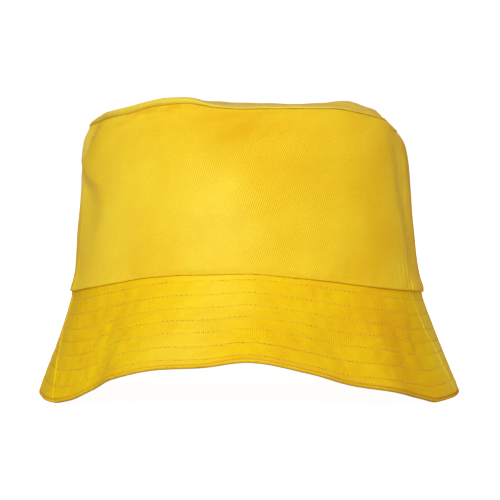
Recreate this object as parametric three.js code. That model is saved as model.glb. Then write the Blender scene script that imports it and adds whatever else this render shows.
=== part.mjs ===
// A cotton twill bucket hat for the sun, unlined, standing on its brim as it does by itself.
// An oval tip closes the crown. The crown's wall is a front and a back panel that meet in two side seams.
// The brim has an upper and an under ply, each cut in a front and a back half. The under ply rolls out at
// the rim as a narrow hem, and both plies run up inside the crown as the seam allowance.
// Millimetres, +Z up, the front faces -Y. The origin is on the floor under the middle of the brim.
// A bearing is in degrees round the hat: 0 at the front, 90 at the wearer's left (+X), 180 at the back.
import * as THREE from "three";
import { mergeVertices } from "three/addons/utils/BufferGeometryUtils.js";

// Driving dimensions.
const CROWN_WIDTH = 204; // outside of the crown where it meets the brim, side to side
const CROWN_DEPTH = 167; // the same, front to back
const CROWN_SHIFT = -1.8; // the crown sits this far to one side of the brim's middle
const CROWN_LEAN = -2; // the tip has leaned this far to the same side
const CROWN_HEIGHT = 90; // height of the crown's wall
const TIP_WIDTH = 176; // the oval tip inside its seam, side to side
const TIP_DEPTH = 145; // the same, front to back
const TIP_LIP = 3.5; // how far the tip's rolled edge stands above its seam where its share is 1
const TIP_ROLL = 3; // how far in from the wall that rolled edge turns
const TIP_SAG = 3; // how far the middle of the tip hangs below its rolled edge
const BRIM_WIDTH = 63; // the brim from its seam to its rim, along the cloth
const BRIM_INSET = 2.2; // the crown's lower edge stands out this far past the top of the brim
const BRIM_BOW = 0.8; // how hollow the brim's outer face is between its seam and its rim
const HEM = 2; // how far the under ply shows below the upper ply at the rim
const CLOTH = 1.2; // thickness of the crown's cloth
const PLY = 1.1; // thickness of each stiffened brim ply
const ALLOWANCE = 7; // seam allowance turned inside the crown
const CREASE_DEPTH = 3; // the deepest crease in the crown's wall
const LEFT_SEAM = -73; // bearing of the side seam on the -X side
const RIGHT_SEAM = 72; // bearing of the side seam on the +X side
const GAP = 0.3; // clearance between any two pieces
const COLUMN = 5; // degrees between the sections of a panel
const WELD = 1e-4; // corners of a surface nearer than this are one corner

// The hat's edges, once round. rim is the height of the brim's lower edge above the floor, seam the height
// of the brim seam and reach how far the rim stands out past the crown, all as shares of the brim's width.
// wall is the height of the crown above its seam, as a share of the crown's height, and lip the height of
// the tip's rolled edge as a share of TIP_LIP. The brim stands on its sides and arches at the front and back.
const EDGES = [
  { bearing: -90, rim: 0, seam: 0.922, reach: 0.283, wall: 1.037, lip: 0.55 },
  { bearing: -76, rim: 0, seam: 0.946, reach: 0.304, wall: 1.045, lip: 0.9 },
  { bearing: -64, rim: 0, seam: 0.99, reach: 0.358, wall: 1.047, lip: 1.3 },
  { bearing: -54, rim: 0.05, seam: 1.032, reach: 0.362, wall: 1.042, lip: 1.2 },
  { bearing: -44, rim: 0.175, seam: 1.08, reach: 0.375, wall: 1.036, lip: 1.2 },
  { bearing: -34, rim: 0.318, seam: 1.13, reach: 0.515, wall: 1.04, lip: 1.15 },
  { bearing: -20, rim: 0.442, seam: 1.17, reach: 0.63, wall: 1.032, lip: 0.9 },
  { bearing: -10, rim: 0.474, seam: 1.18, reach: 0.67, wall: 1.002, lip: 0.55 },
  { bearing: 0, rim: 0.527, seam: 1.188, reach: 0.7, wall: 0.987, lip: 0.42 },
  { bearing: 14, rim: 0.416, seam: 1.153, reach: 0.62, wall: 1.013, lip: 0.4 },
  { bearing: 26, rim: 0.276, seam: 1.112, reach: 0.49, wall: 1.04, lip: 0.4 },
  { bearing: 40, rim: 0.178, seam: 1.054, reach: 0.43, wall: 1.07, lip: 0.45 },
  { bearing: 52, rim: 0.076, seam: 1.01, reach: 0.335, wall: 1.067, lip: 0.45 },
  { bearing: 64, rim: 0, seam: 0.974, reach: 0.322, wall: 1.058, lip: 0.4 },
  { bearing: 76, rim: 0, seam: 0.944, reach: 0.332, wall: 1.008, lip: 0.4 },
  { bearing: 90, rim: 0, seam: 0.91, reach: 0.325, wall: 1.014, lip: 0.5 },
  { bearing: 108, rim: 0, seam: 0.925, reach: 0.325, wall: 1.05, lip: 0.6 },
  { bearing: 120, rim: 0.012, seam: 0.96, reach: 0.34, wall: 1.1, lip: 0.6 },
  { bearing: 132, rim: 0.1, seam: 1.02, reach: 0.38, wall: 1.095, lip: 0.6 },
  { bearing: 146, rim: 0.265, seam: 1.09, reach: 0.49, wall: 1.038, lip: 0.6 },
  { bearing: 162, rim: 0.41, seam: 1.145, reach: 0.625, wall: 0.988, lip: 0.6 },
  { bearing: 180, rim: 0.475, seam: 1.17, reach: 0.685, wall: 0.981, lip: 0.6 },
  { bearing: 200, rim: 0.4, seam: 1.15, reach: 0.625, wall: 1.012, lip: 0.6 },
  { bearing: 216, rim: 0.26, seam: 1.095, reach: 0.49, wall: 1.045, lip: 0.6 },
  { bearing: 230, rim: 0.1, seam: 1.03, reach: 0.385, wall: 1.062, lip: 0.6 },
  { bearing: 242, rim: 0.01, seam: 0.975, reach: 0.33, wall: 1.075, lip: 0.6 },
  { bearing: 254, rim: 0, seam: 0.944, reach: 0.295, wall: 1.064, lip: 0.65 },
];

// How far the crown's wall has spread from the tip's outline (0) to the brim seam's (1), by the share of
// its height that it has dropped. The sides swell out under the tip, and the front and back fall straight.
const WALL_SECTIONS = [
  { drop: 0, side: 0, front: 0 },
  { drop: 0.09, side: 0.3, front: 0.17 },
  { drop: 0.22, side: 0.44, front: 0.32 },
  { drop: 0.36, side: 0.5, front: 0.44 },
  { drop: 0.5, side: 0.55, front: 0.56 },
  { drop: 0.64, side: 0.63, front: 0.68 },
  { drop: 0.78, side: 0.7, front: 0.8 },
  { drop: 0.9, side: 0.8, front: 0.9 },
  { drop: 1, side: 1, front: 1 },
];

// The creases in the crown's wall beside its side seams, and the shallow dent high in its front. Each runs
// down through its rows: depth is a share of the deepest crease, and spread is in degrees to either side.
const CREASES = [
  [
    { drop: 0, bearing: -68, depth: 0.6, spread: 10 },
    { drop: 0.1, bearing: -72, depth: 0.9, spread: 10 },
    { drop: 0.2, bearing: -79, depth: 0, spread: 10 },
  ],
  [
    { drop: 0.2, bearing: -92, depth: 0, spread: 12 },
    { drop: 0.3, bearing: -80, depth: 0.6, spread: 12 },
    { drop: 0.42, bearing: -69, depth: 1, spread: 13 },
    { drop: 0.56, bearing: -66, depth: 0.9, spread: 13 },
    { drop: 0.78, bearing: -70, depth: 0, spread: 12 },
  ],
  [
    { drop: 0.25, bearing: -88, depth: 0, spread: 10 },
    { drop: 0.4, bearing: -86, depth: 0.55, spread: 10 },
    { drop: 0.58, bearing: -84, depth: 0.95, spread: 10 },
    { drop: 0.75, bearing: -84, depth: 0.75, spread: 10 },
    { drop: 0.93, bearing: -82, depth: 0, spread: 10 },
  ],
  [
    { drop: 0.02, bearing: 66, depth: 0, spread: 9 },
    { drop: 0.2, bearing: 68, depth: 0.5, spread: 9 },
    { drop: 0.5, bearing: 71, depth: 0.7, spread: 10 },
    { drop: 0.75, bearing: 74, depth: 0.6, spread: 10 },
    { drop: 1, bearing: 75, depth: 0, spread: 9 },
  ],
  [
    { drop: 0.02, bearing: 2, depth: 0, spread: 18 },
    { drop: 0.18, bearing: -1, depth: 0.7, spread: 20 },
    { drop: 0.34, bearing: -5, depth: 1.2, spread: 20 },
    { drop: 0.5, bearing: -9, depth: 0.6, spread: 20 },
    { drop: 0.64, bearing: -12, depth: 0, spread: 18 },
  ],
];

// The tip's rolled edge, from its field out to the wall. back is a share of the roll's width in from the
// wall, rise the height of its outer face as a share of the lip's height, and under the height of its inner
// face as a share of what the cloth leaves of that.
const LIP_SECTIONS = [
  { back: 1, rise: 1, under: 1 },
  { back: 0.35, rise: 0.8, under: 0.6 },
  { back: 0, rise: 0.35, under: 0.3 },
];

// Where the tip's field has a section, from its middle out, and the brim from its seam (0) to its rim (1).
const TIP_REACHES = [0, 0.3, 0.55, 0.75, 0.9];
const BRIM_RUNS = [0, 0.2, 0.42, 0.62, 0.82];

const { lerp, degToRad, euclideanModulo } = THREE.MathUtils;

// The smooth curve between two rows of a table, from their values and the slopes through them.
function hermite(low, high, lowSlope, highSlope, step, share) {
  const rest = 1 - share;
  return (
    (1 + 2 * share) * rest * rest * low +
    (1 + 2 * rest) * share * share * high +
    share * rest * (rest * lowSlope - share * highSlope) * step
  );
}

// One column of the table of edges as a smooth function of the bearing. It never passes its own rows, so
// a stretch of rim that lies on the floor stays on it.
function around(rows, column) {
  const bearing = (i) => rows[euclideanModulo(i, rows.length)].bearing + 360 * Math.floor(i / rows.length);
  const value = (i) => rows[euclideanModulo(i, rows.length)][column];
  const steepness = (i) => (value(i + 1) - value(i)) / (bearing(i + 1) - bearing(i));
  const slope = (i) => {
    const before = steepness(i - 1);
    const after = steepness(i);
    return before * after <= 0 ? 0 : (2 * before * after) / (before + after);
  };
  return (degrees) => {
    const turned = bearing(0) + euclideanModulo(degrees - bearing(0), 360);
    const i = rows.findLastIndex((row) => row.bearing <= turned);
    const step = bearing(i + 1) - bearing(i);
    return hermite(value(i), value(i + 1), slope(i), slope(i + 1), step, (turned - bearing(i)) / step);
  };
}

// One column of a table that runs down the wall, straight from row to row.
function down(rows, column, drop) {
  const i = Math.max(1, rows.findIndex((row) => row.drop >= drop));
  const [above, below] = [rows[i - 1], rows[i]];
  return lerp(above[column], below[column], (drop - above.drop) / (below.drop - above.drop));
}

const rimShare = around(EDGES, "rim");
const seamShare = around(EDGES, "seam");
const reachShare = around(EDGES, "reach");
const wallShare = around(EDGES, "wall");
const lipShare = around(EDGES, "lip");
const rimHeight = (bearing) => BRIM_WIDTH * rimShare(bearing);
const seamHeight = (bearing) => BRIM_WIDTH * seamShare(bearing);
const wallHeight = (bearing) => CROWN_HEIGHT * wallShare(bearing);
const tipHeight = (bearing) => seamHeight(bearing) + wallHeight(bearing);
const lipHeight = (bearing) => TIP_LIP * lipShare(bearing);
const crestHeight = (bearing) => tipHeight(bearing) + lipHeight(bearing);

// A point at a bearing on an oval about the crown's axis, moved straight out from that oval.
function onOval(bearing, width, depth, out, height) {
  const [sine, cosine] = [Math.sin(degToRad(bearing)), Math.cos(degToRad(bearing))];
  const outward = new THREE.Vector2(depth * sine, -width * cosine).normalize();
  return new THREE.Vector3(
    CROWN_SHIFT + (width / 2) * sine + out * outward.x,
    (-depth / 2) * cosine + out * outward.y,
    height,
  );
}

// How deep the creases and the dent are at a place on the crown's wall.
function creaseDepth(bearing, drop) {
  let depth = 0;
  for (const rows of CREASES) {
    if (drop < rows[0].drop || drop > rows.at(-1).drop) continue;
    const aside = euclideanModulo(bearing - down(rows, "bearing", drop) + 180, 360) - 180;
    const spread = down(rows, "spread", drop);
    if (Math.abs(aside) >= spread) continue;
    const cover = (1 + Math.cos((Math.PI * aside) / spread)) / 2;
    depth += CREASE_DEPTH * down(rows, "depth", drop) * cover;
  }
  return depth;
}

// The crown's wall from the tip's seam (drop 0) to the brim's seam (drop 1), inset by a depth.
function wallPoint(bearing, drop, inset) {
  const sideways = Math.sin(degToRad(bearing)) ** 2;
  const spread = lerp(down(WALL_SECTIONS, "front", drop), down(WALL_SECTIONS, "side", drop), sideways);
  return onOval(
    bearing,
    lerp(TIP_WIDTH, CROWN_WIDTH, spread),
    lerp(TIP_DEPTH, CROWN_DEPTH, spread),
    -inset - creaseDepth(bearing, drop),
    lerp(tipHeight(bearing), seamHeight(bearing), drop),
  ).add(new THREE.Vector3(CROWN_LEAN * (1 - drop), 0, 0));
}

// The brim's outer face from its seam (run 0) to its rim (run 1), inset by a depth.
function brimPoint(bearing, run, inset) {
  const reach = BRIM_WIDTH * reachShare(bearing);
  const fall = seamHeight(bearing) - rimHeight(bearing);
  const slope = new THREE.Vector2(reach + BRIM_INSET, fall).normalize();
  const hollow = 4 * run * (1 - run) * BRIM_BOW + inset;
  return onOval(
    bearing,
    CROWN_WIDTH,
    CROWN_DEPTH,
    lerp(-BRIM_INSET, reach, run) - slope.y * hollow,
    seamHeight(bearing) - fall * run - slope.x * hollow,
  );
}

// A point of the brim's lower edge, which is flattened where it rests on the floor.
function onFloor(point) {
  return point.setZ(Math.max(0, point.z));
}

// The top of a brim ply's seam allowance, which lies against the inside of the crown's wall.
function brimAllowance(bearing, inset) {
  return wallPoint(bearing, 1 - ALLOWANCE / wallHeight(bearing), CLOTH + GAP + inset);
}

// The tip's field at a share of the way from its middle to its seam. It spans its own wavy edge as a slack
// membrane does.
function fieldPoint(bearing, reach, inset) {
  const middle = (crestHeight(0) + crestHeight(90) + crestHeight(180) + crestHeight(270)) / 4;
  const height = lerp(middle - TIP_SAG, crestHeight(bearing), reach * reach);
  return onOval(bearing, TIP_WIDTH * reach, TIP_DEPTH * reach, 0, height - inset).add(
    new THREE.Vector3(CROWN_LEAN, 0, 0),
  );
}

// A thin solid lofted round the hat. section(bearing) gives its outer and its inner line, with as many
// points each. It closes on itself, or ends in two flat caps.
function loft(section, bearings, closed) {
  const columns = bearings.map(section);
  const count = columns[0].outer.length;
  const corners = [];
  const quad = (a, b, c, d) => corners.push(a, b, c, a, c, d);
  const spans = closed ? columns.length : columns.length - 1;
  for (let i = 0; i < spans; i += 1) {
    const [here, next] = [columns[i], columns[(i + 1) % columns.length]];
    for (let k = 0; k < count - 1; k += 1) {
      quad(here.outer[k], here.outer[k + 1], next.outer[k + 1], next.outer[k]);
      quad(here.inner[k], next.inner[k], next.inner[k + 1], here.inner[k + 1]);
    }
    quad(here.outer[0], next.outer[0], next.inner[0], here.inner[0]);
    quad(here.outer[count - 1], here.inner[count - 1], next.inner[count - 1], next.outer[count - 1]);
  }
  if (!closed) {
    const [first, last] = [columns[0], columns.at(-1)];
    for (let k = 0; k < count - 1; k += 1) {
      quad(first.outer[k], first.inner[k], first.inner[k + 1], first.outer[k + 1]);
      quad(last.outer[k], last.outer[k + 1], last.inner[k + 1], last.inner[k]);
    }
  }
  return solidSurface(corners);
}

// A geometry of the triangles that have three different corners.
function solidSurface(corners) {
  const kept = [];
  for (let i = 0; i < corners.length; i += 3) {
    const [a, b, c] = corners.slice(i, i + 3);
    if (!a.equals(b) && !b.equals(c) && !c.equals(a)) kept.push(a, b, c);
  }
  const merged = mergeVertices(new THREE.BufferGeometry().setFromPoints(kept), WELD);
  merged.computeVertexNormals();
  return merged;
}

// The bearings of a panel's sections between two side seams, half a clearance short of each.
function panelBearings(from, to) {
  const clearance = THREE.MathUtils.radToDeg(GAP / CROWN_DEPTH);
  const count = Math.round((to - from) / COLUMN);
  return Array.from({ length: count + 1 }, (_, i) => lerp(from + clearance, to - clearance, i / count));
}

// A crown panel: one ply of cloth from the tip's seam to the brim's seam.
const crownSection = (bearing) => ({
  outer: WALL_SECTIONS.map(({ drop }) => wallPoint(bearing, drop, 0)),
  inner: WALL_SECTIONS.map(({ drop }) => wallPoint(bearing, drop, CLOTH)),
});

// The seam allowance and the broad of a brim ply, at a depth below the brim's outer face.
function plyLine(bearing, inset) {
  return [brimAllowance(bearing, inset), ...BRIM_RUNS.map((run) => brimPoint(bearing, run, inset))];
}

// The upper ply of the brim ends just short of the rim.
function upperSection(bearing) {
  const end = 1 - HEM / BRIM_WIDTH;
  return {
    outer: [...plyLine(bearing, 0), brimPoint(bearing, end, 0)],
    inner: [...plyLine(bearing, PLY), brimPoint(bearing, end, PLY)],
  };
}

// The under ply lies behind the upper one, and at the rim it rolls out below it as the hem.
function underSection(bearing) {
  const behind = PLY + GAP;
  const full = behind + PLY;
  const hemTop = 1 - (HEM - GAP) / BRIM_WIDTH;
  const hemMiddle = (1 + hemTop) / 2;
  return {
    outer: [
      ...plyLine(bearing, behind),
      brimPoint(bearing, hemTop, behind),
      brimPoint(bearing, hemTop, 0),
      onFloor(brimPoint(bearing, 1, 0)),
    ],
    inner: [
      ...plyLine(bearing, full),
      brimPoint(bearing, hemTop, full),
      onFloor(brimPoint(bearing, hemMiddle, full)),
      onFloor(brimPoint(bearing, 1, full)),
    ],
  };
}

// The tip: its field, its rolled edge over the wall, and its allowance turned down inside the wall.
function tipSection(bearing) {
  const behind = CLOTH + GAP;
  const full = behind + CLOTH;
  const edge = (inset, height) => wallPoint(bearing, 0, inset).setZ(tipHeight(bearing) + height);
  const tucked = (inset) => wallPoint(bearing, ALLOWANCE / wallHeight(bearing), inset);
  return {
    outer: [
      ...TIP_REACHES.map((reach) => fieldPoint(bearing, reach, 0)),
      ...LIP_SECTIONS.map(({ back, rise }) => edge(TIP_ROLL * back, lipHeight(bearing) * rise)),
      edge(0, GAP),
      edge(behind, GAP),
      tucked(behind),
    ],
    inner: [
      ...TIP_REACHES.map((reach) => fieldPoint(bearing, reach, CLOTH)),
      ...LIP_SECTIONS.map(({ under }) => edge(full, (lipHeight(bearing) - CLOTH) * under)),
      edge(full, 0),
      edge(full, -GAP),
      tucked(full),
    ],
  };
}

const CROWN_YELLOW = 0xf2cf1d;
const BRIM_YELLOW = 0xf0c90f;

function piece(name, geometry, color) {
  const material = new THREE.MeshStandardMaterial({ color, roughness: 0.85, metalness: 0 });
  const mesh = new THREE.Mesh(geometry, material);
  mesh.name = name;
  return mesh;
}

const frontBearings = panelBearings(LEFT_SEAM, RIGHT_SEAM);
const backBearings = panelBearings(RIGHT_SEAM, LEFT_SEAM + 360);
const allBearings = [...frontBearings, ...backBearings];

const crown = new THREE.Group();
crown.add(
  piece("tip", loft(tipSection, allBearings, true), CROWN_YELLOW),
  piece("crown_front", loft(crownSection, frontBearings, false), CROWN_YELLOW),
  piece("crown_back", loft(crownSection, backBearings, false), CROWN_YELLOW),
);

const brim = new THREE.Group();
brim.add(
  piece("brim_upper_front", loft(upperSection, frontBearings, false), BRIM_YELLOW),
  piece("brim_upper_back", loft(upperSection, backBearings, false), BRIM_YELLOW),
  piece("brim_under_front", loft(underSection, frontBearings, false), BRIM_YELLOW),
  piece("brim_under_back", loft(underSection, backBearings, false), BRIM_YELLOW),
);

const hat = new THREE.Group();
hat.add(crown, brim);

export default hat;
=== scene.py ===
import math

import bpy
import numpy as np
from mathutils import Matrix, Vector


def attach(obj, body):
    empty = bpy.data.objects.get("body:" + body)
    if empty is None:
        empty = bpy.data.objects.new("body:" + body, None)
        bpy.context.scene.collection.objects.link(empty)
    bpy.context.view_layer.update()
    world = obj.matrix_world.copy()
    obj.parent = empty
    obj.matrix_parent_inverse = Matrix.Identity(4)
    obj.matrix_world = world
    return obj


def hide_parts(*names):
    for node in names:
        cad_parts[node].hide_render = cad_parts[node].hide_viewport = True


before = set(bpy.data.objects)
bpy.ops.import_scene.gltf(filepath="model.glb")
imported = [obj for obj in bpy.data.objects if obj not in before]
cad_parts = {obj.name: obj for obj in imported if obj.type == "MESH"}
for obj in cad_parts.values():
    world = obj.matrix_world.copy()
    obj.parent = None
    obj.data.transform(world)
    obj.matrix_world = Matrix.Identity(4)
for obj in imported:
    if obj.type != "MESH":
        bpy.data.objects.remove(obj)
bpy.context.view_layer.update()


# The studio is a white floor that sweeps up behind the hat, in an even warm glow. A big soft lamp shines from
# over the camera, a weak warm one from the right and one from behind. The camera stands 1.4 m away, a little
# higher than the hat, and looks slightly down.

CAMERA_PLACE = Vector((0, -1.4, 0.197))
CAMERA_AIM = Vector((0, 0, 0.081))
CAMERA_LENS = 175.9
HAT_MIDDLE = Vector((0, 0, 0.09))

camera_data = bpy.data.cameras.new("camera")
camera_data.lens = CAMERA_LENS
camera = bpy.data.objects.new("camera", camera_data)
camera.location = CAMERA_PLACE
camera.rotation_euler = (CAMERA_AIM - CAMERA_PLACE).to_track_quat("-Z", "Y").to_euler()
bpy.context.scene.collection.objects.link(camera)
bpy.context.scene.camera = camera
bpy.context.scene.view_settings.view_transform = "Standard"


def soft_lamp(name, place, size, power, color):
    data = bpy.data.lights.new(name, "AREA")
    data.size = size
    data.energy = power
    data.color = color
    lamp = bpy.data.objects.new(name, data)
    lamp.location = place
    lamp.rotation_euler = (HAT_MIDDLE - Vector(place)).to_track_quat("-Z", "Y").to_euler()
    bpy.context.scene.collection.objects.link(lamp)


soft_lamp("key_lamp", place=(-0.3, -1.5, 0.86), size=0.8, power=19.5, color=(1, 0.98, 0.96))
soft_lamp("right_lamp", place=(1.5, -0.25, 0.5), size=0.6, power=2.4, color=(1, 0.72, 0.5))
soft_lamp("back_lamp", place=(-0.2, 1.5, 0.7), size=1.0, power=9.0, color=(1, 0.9, 0.8))


def node(tree, kind, feeds=(), **settings):
    """A shader node with its settings, its sockets set to a value or linked to another node's socket."""
    made = tree.nodes.new("ShaderNode" + kind)
    for name, value in settings.items():
        setattr(made, name, value)
    for socket, feed in dict(feeds).items():
        if isinstance(feed, bpy.types.NodeSocket):
            tree.links.new(feed, made.inputs[socket])
        else:
            made.inputs[socket].default_value = feed
    return made


def mixed(tree, share, first, second):
    """A colour that goes from the first to the second as the share goes from 0 to 1."""
    return node(tree, "Mix", {0: share, 6: first, 7: second}, data_type="RGBA").outputs[2]


def smooth_object(name, points, faces):
    mesh = bpy.data.meshes.new(name)
    mesh.from_pydata(points, [], faces)
    mesh.polygons.foreach_set("use_smooth", [True] * len(mesh.polygons))
    made = bpy.data.objects.new(name, mesh)
    bpy.context.scene.collection.objects.link(made)
    return made


WHITE = (1, 1, 1, 1)
BLACK = (0, 0, 0, 1)
SURROUND_GLOW = 0.36
SURROUND_TINT = (1, 0.78, 0.62, 1)

world = bpy.data.worlds.new("surround")
bpy.context.scene.world = world
world.use_nodes = True
sky = world.node_tree
sky.nodes.clear()
lighting = node(sky, "Background", {"Color": SURROUND_TINT, "Strength": SURROUND_GLOW})
backdrop = node(sky, "Background", {"Color": WHITE, "Strength": 1.0})
seen = node(sky, "LightPath").outputs["Is Camera Ray"]
either = node(sky, "MixShader", {0: seen, 1: lighting.outputs[0], 2: backdrop.outputs[0]})
node(sky, "OutputWorld", {"Surface": either.outputs[0]})

FLOOR_HALF_WIDTH = 3.0
FLOOR_BACK = 2.4
SWEEP_RADIUS = 0.8
SWEEP_STEPS = 24
FLOOR_COLOR = (0.45, 0.36, 0.3, 1)
FLOOR_ROUGHNESS = 0.9
FLOOR_SHINE = 0.1
FLOOR_GLOW = 0.97

sweep = [(-FLOOR_HALF_WIDTH, 0.0)]
for step in range(SWEEP_STEPS + 1):
    turn = math.pi / 2 * step / SWEEP_STEPS
    sweep.append((FLOOR_BACK + SWEEP_RADIUS * math.sin(turn), SWEEP_RADIUS * (1 - math.cos(turn))))
sweep.append((FLOOR_BACK + SWEEP_RADIUS, FLOOR_HALF_WIDTH))
floor = smooth_object(
    "floor",
    [(side, back, up) for back, up in sweep for side in (-FLOOR_HALF_WIDTH, FLOOR_HALF_WIDTH)],
    [(2 * i, 2 * i + 1, 2 * i + 3, 2 * i + 2) for i in range(len(sweep) - 1)],
)
floor_paint = bpy.data.materials.new("white_floor")
floor_paint.use_nodes = True
paint = floor_paint.node_tree.nodes["Principled BSDF"]
paint.inputs["Base Color"].default_value = FLOOR_COLOR
paint.inputs["Roughness"].default_value = FLOOR_ROUGHNESS
paint.inputs["Specular IOR Level"].default_value = FLOOR_SHINE
looked_at = node(floor_paint.node_tree, "LightPath").outputs["Is Camera Ray"]
glow = mixed(floor_paint.node_tree, looked_at, BLACK, WHITE)
floor_paint.node_tree.links.new(glow, paint.inputs["Emission Color"])
paint.inputs["Emission Strength"].default_value = FLOOR_GLOW
floor.data.materials.append(floor_paint)


# The crown's wall is two panels of cotton twill, a front and a back, sewn together in two side seams. Each
# is turned in at its edges, swells out at the sides under the tip and has a few soft creases by the seams.

MM = 0.001
CROWN_WIDTH = 204 * MM
CROWN_DEPTH = 167 * MM
CROWN_SHIFT = -1.8 * MM
CROWN_LEAN = -2 * MM
CROWN_HEIGHT = 90 * MM
TIP_WIDTH = 176 * MM
TIP_DEPTH = 145 * MM
BRIM_WIDTH = 63 * MM
CLOTH = 1.2 * MM
CREASE_DEPTH = 2.4 * MM

# Once round the hat: bearing in degrees from the front towards +X, height of the rim, height of the brim's
# seam and reach of the rim as shares of the brim's width, height of the wall as a share of the crown's, and
# of the tip's rolled edge as a share of its usual height.
EDGES = np.array([
    (-90, 0, 0.922, 0.283, 1.037, 0.55), (-76, 0, 0.946, 0.304, 1.045, 0.9),
    (-64, 0, 0.99, 0.358, 1.047, 1.3), (-54, 0.05, 1.032, 0.362, 1.042, 1.2),
    (-44, 0.175, 1.08, 0.375, 1.036, 1.2), (-34, 0.318, 1.13, 0.515, 1.04, 1.15),
    (-20, 0.442, 1.17, 0.63, 1.032, 0.9), (-10, 0.474, 1.18, 0.67, 1.002, 0.55),
    (0, 0.527, 1.188, 0.7, 0.987, 0.42), (14, 0.416, 1.153, 0.62, 1.013, 0.4),
    (26, 0.276, 1.112, 0.49, 1.04, 0.4), (40, 0.178, 1.054, 0.43, 1.07, 0.45),
    (52, 0.076, 1.01, 0.335, 1.067, 0.45), (64, 0, 0.974, 0.322, 1.058, 0.4),
    (76, 0, 0.944, 0.332, 1.008, 0.4), (90, 0, 0.91, 0.325, 1.014, 0.5),
    (108, 0, 0.925, 0.325, 1.05, 0.6), (120, 0.012, 0.96, 0.34, 1.1, 0.6),
    (132, 0.1, 1.02, 0.38, 1.095, 0.6), (146, 0.265, 1.09, 0.49, 1.038, 0.6),
    (162, 0.41, 1.145, 0.625, 0.988, 0.6), (180, 0.475, 1.17, 0.685, 0.981, 0.6),
    (200, 0.4, 1.15, 0.625, 1.012, 0.6), (216, 0.26, 1.095, 0.49, 1.045, 0.6),
    (230, 0.1, 1.03, 0.385, 1.062, 0.6), (242, 0.01, 0.975, 0.33, 1.075, 0.6),
    (254, 0, 0.944, 0.295, 1.064, 0.65),
])

# Down the wall: share of its height, how far the sides and how far the front and back have spread.
WALL_SECTIONS = np.array([
    (0, 0, 0), (0.09, 0.3, 0.17), (0.22, 0.44, 0.32), (0.36, 0.5, 0.44), (0.5, 0.55, 0.56),
    (0.64, 0.63, 0.68), (0.78, 0.7, 0.8), (0.9, 0.8, 0.9), (1, 1, 1),
])

# Down each crease and the front's dent: share of the wall's height, bearing, share of the deepest crease and
# degrees to either side.
CREASES = [
    np.array([(0, -68, 0.6, 10), (0.1, -72, 0.9, 10), (0.2, -79, 0, 10)]),
    np.array([(0.2, -92, 0, 12), (0.3, -80, 0.6, 12), (0.42, -69, 1, 13),
              (0.56, -66, 0.9, 13), (0.78, -70, 0, 12)]),
    np.array([(0.25, -88, 0, 10), (0.4, -86, 0.55, 10), (0.58, -84, 0.95, 10),
              (0.75, -84, 0.75, 10), (0.93, -82, 0, 10)]),
    np.array([(0.02, 66, 0, 9), (0.2, 68, 0.5, 9), (0.5, 71, 0.7, 10), (0.75, 74, 0.6, 10), (1, 75, 0, 9)]),
    np.array([(0.02, 2, 0, 18), (0.18, -1, 0.7, 20), (0.34, -5, 1.2, 20),
              (0.5, -9, 0.6, 20), (0.64, -12, 0, 18)]),
]


def curve(places, values, at, lap=0):
    """The smooth line through values at places that never passes them, closed after a lap if one is given."""
    if lap:
        places = np.append(places, places[0] + lap)
        values = np.append(values, values[:1], axis=0)
        at = (at - places[0]) % lap + places[0]
    step = np.diff(places).reshape((-1,) + (1,) * (values.ndim - 1))
    steep = np.diff(values, axis=0) / step
    before = np.roll(steep, 1, axis=0)
    both = before * steep
    slope = np.where(both > 0, 2 * both / np.where(both > 0, before + steep, 1), 0)
    slope = np.append(slope, slope[:1] if lap else steep[-1:], axis=0)
    if not lap:
        slope[0] = steep[0]
    i = np.clip(np.searchsorted(places, at, side="right") - 1, 0, len(places) - 2)
    shape = np.shape(at) + (1,) * (values.ndim - 1)
    share = ((at - places[i]) / np.diff(places)[i]).reshape(shape)
    rest = 1 - share
    rise = share * rest * (rest * slope[i] - share * slope[i + 1]) * np.diff(places)[i].reshape(shape)
    low, high = values[i], values[i + 1]
    return (1 + 2 * share) * rest * rest * low + (1 + 2 * rest) * share * share * high + rise


def edge_line(column):
    return lambda bearing: curve(EDGES[:, 0], EDGES[:, column], bearing, 360)


rim_share, seam_share, reach_share, wall_share, lip_share = (edge_line(column) for column in range(1, 6))


def tip_height(bearing):
    return BRIM_WIDTH * seam_share(bearing) + CROWN_HEIGHT * wall_share(bearing)


def on_oval(bearing, width, depth, out, height):
    """The place at a bearing on an upright oval, moved outwards at right angles to it."""
    sine, cosine = np.sin(np.radians(bearing)), np.cos(np.radians(bearing))
    length = np.hypot(depth * sine, width * cosine)
    x = CROWN_SHIFT + width / 2 * sine + out * depth * sine / length
    y = -depth / 2 * cosine - out * width * cosine / length
    return np.stack(np.broadcast_arrays(x, y, height), -1)


def crease_depth(bearing, drop):
    """How far the creases and the dent draw the wall in."""
    total = 0
    for rows in CREASES:
        within = (drop >= rows[0, 0]) & (drop <= rows[-1, 0])
        at = np.clip(drop, rows[0, 0], rows[-1, 0])
        aside = (bearing - curve(rows[:, 0], rows[:, 1], at) + 180) % 360 - 180
        cover = (1 + np.cos(math.pi * np.clip(aside / curve(rows[:, 0], rows[:, 3], at), -1, 1))) / 2
        total = total + within * CREASE_DEPTH * np.maximum(curve(rows[:, 0], rows[:, 2], at), 0) * cover
    return total


def wall_place(bearing, drop, inset):
    """The place on the crown's wall at a bearing and a share of the way down, moved in by the inset."""
    sideways = np.sin(np.radians(bearing)) ** 2
    front = curve(WALL_SECTIONS[:, 0], WALL_SECTIONS[:, 2], drop)
    side = curve(WALL_SECTIONS[:, 0], WALL_SECTIONS[:, 1], drop)
    spread = front + (side - front) * sideways
    top, bottom = tip_height(bearing), BRIM_WIDTH * seam_share(bearing)
    place = on_oval(
        bearing,
        TIP_WIDTH + (CROWN_WIDTH - TIP_WIDTH) * spread,
        TIP_DEPTH + (CROWN_DEPTH - TIP_DEPTH) * spread,
        -inset - crease_depth(bearing, drop),
        top + (bottom - top) * drop,
    )
    place[..., 0] += CROWN_LEAN * (1 - drop)
    return place


TABLE_SIZE = 97


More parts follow.
